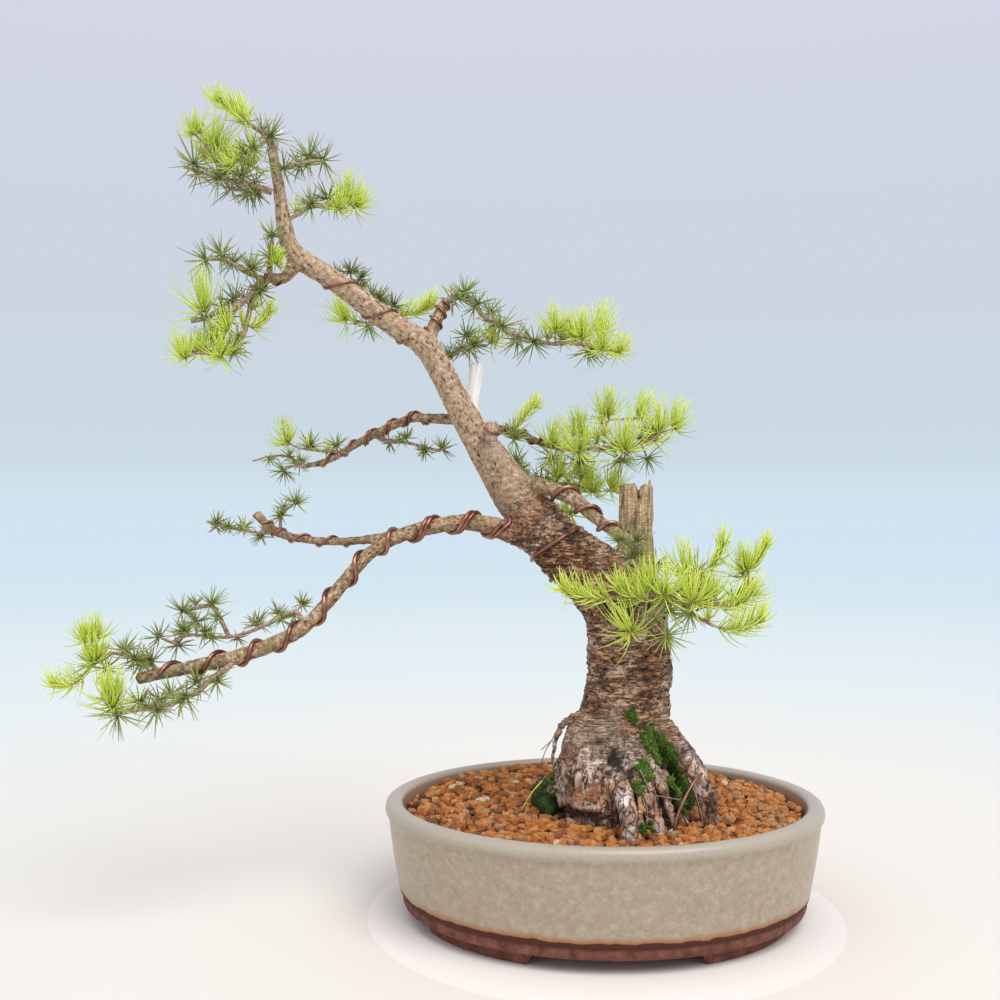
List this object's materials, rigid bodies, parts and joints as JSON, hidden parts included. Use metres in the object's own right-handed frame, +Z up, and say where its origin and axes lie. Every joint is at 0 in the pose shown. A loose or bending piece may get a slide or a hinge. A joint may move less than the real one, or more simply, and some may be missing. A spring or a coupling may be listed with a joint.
{
  "type": "european larch bonsai in a pot",
  "caption": "Leaning bonsai larch with exposed roots, dead stubs, wired branches and needle sprays, in soil in an oval glazed pot on feet.",
  "frame": {"origin": "middle of the whole object's footprint box, at the bottom of the pot's feet", "axes": "+Z up, the tallest way; +X to the right in the picture's view, along the pot's long side; +Y away from the viewer, the shortest way"},
  "size_m": [0.6116, 0.296, 0.6561],
  "materials": {
    "glazed_pot": "sage grey glaze with fine specks over dark clay",
    "clay_granules": "dry baked clay granules",
    "bark": "rough flaking bark, bleached on the dead stubs",
    "screen_plastic": "plain dark plastic mesh",
    "wire": "copper brown anodised wire",
    "moss": "soft green moss",
    "bright_needles": "young soft needles",
    "dark_needles": "mature needles with brown tips"
  },
  "bodies": {
    "root": {"pot": "glazed_pot", "soil": "clay_granules", "tree": "bark", "drain_screen_1": "screen_plastic", "drain_screen_2": "screen_plastic", "drain_clip_1": "wire", "drain_clip_2": "wire", "moss_left": "moss", "moss_right": "moss", "moss_back": "moss", "wire_low_left_a": "wire", "wire_low_left_b": "wire", "wire_low_left_upper": "wire", "wire_mid_left_a": "wire", "wire_mid_left_b": "wire", "wire_right_front": "wire", "wire_mid_right": "wire", "wire_upper_right": "wire", "wire_left_fork": "wire", "wire_trunk_upper": "wire", "wire_trunk_ring": "wire", "wire_low_jin": "wire", "tie_down_wire": "wire", "needles_apex_top": "bright_needles", "needles_apex_left": "dark_needles", "needles_apex_left_shoots": "bright_needles", "needles_apex_right_high": "dark_needles", "needles_apex_right_low": "dark_needles", "needles_bend_spurs": "dark_needles", "needles_left_upper": "dark_needles", "needles_left_mid": "dark_needles", "needles_left_low": "bright_needles", "needles_behind_trunk": "dark_needles", "needles_behind_trunk_shoots": "bright_needles", "needles_upper_right_inner": "dark_needles", "needles_upper_right_outer": "bright_needles", "needles_upper_right_low": "dark_needles", "needles_mid_left_tips": "dark_needles", "needles_mid_left_end": "dark_needles", "needles_mid_left_back": "dark_needles", "needles_low_left_upper_tips": "dark_needles", "needles_low_left_upper_twig": "dark_needles", "needles_low_left_top": "dark_needles", "needles_low_left_end": "dark_needles", "needles_low_left_end_shoots": "bright_needles", "needles_low_left_under": "dark_needles", "needles_low_left_under_shoots": "bright_needles", "needles_mid_right_spur": "dark_needles", "needles_mid_right_pad": "bright_needles", "needles_mid_right_low": "bright_needles", "needles_right_pad_inner": "dark_needles", "needles_right_pad": "bright_needles"}
  },
  "joints": []
}
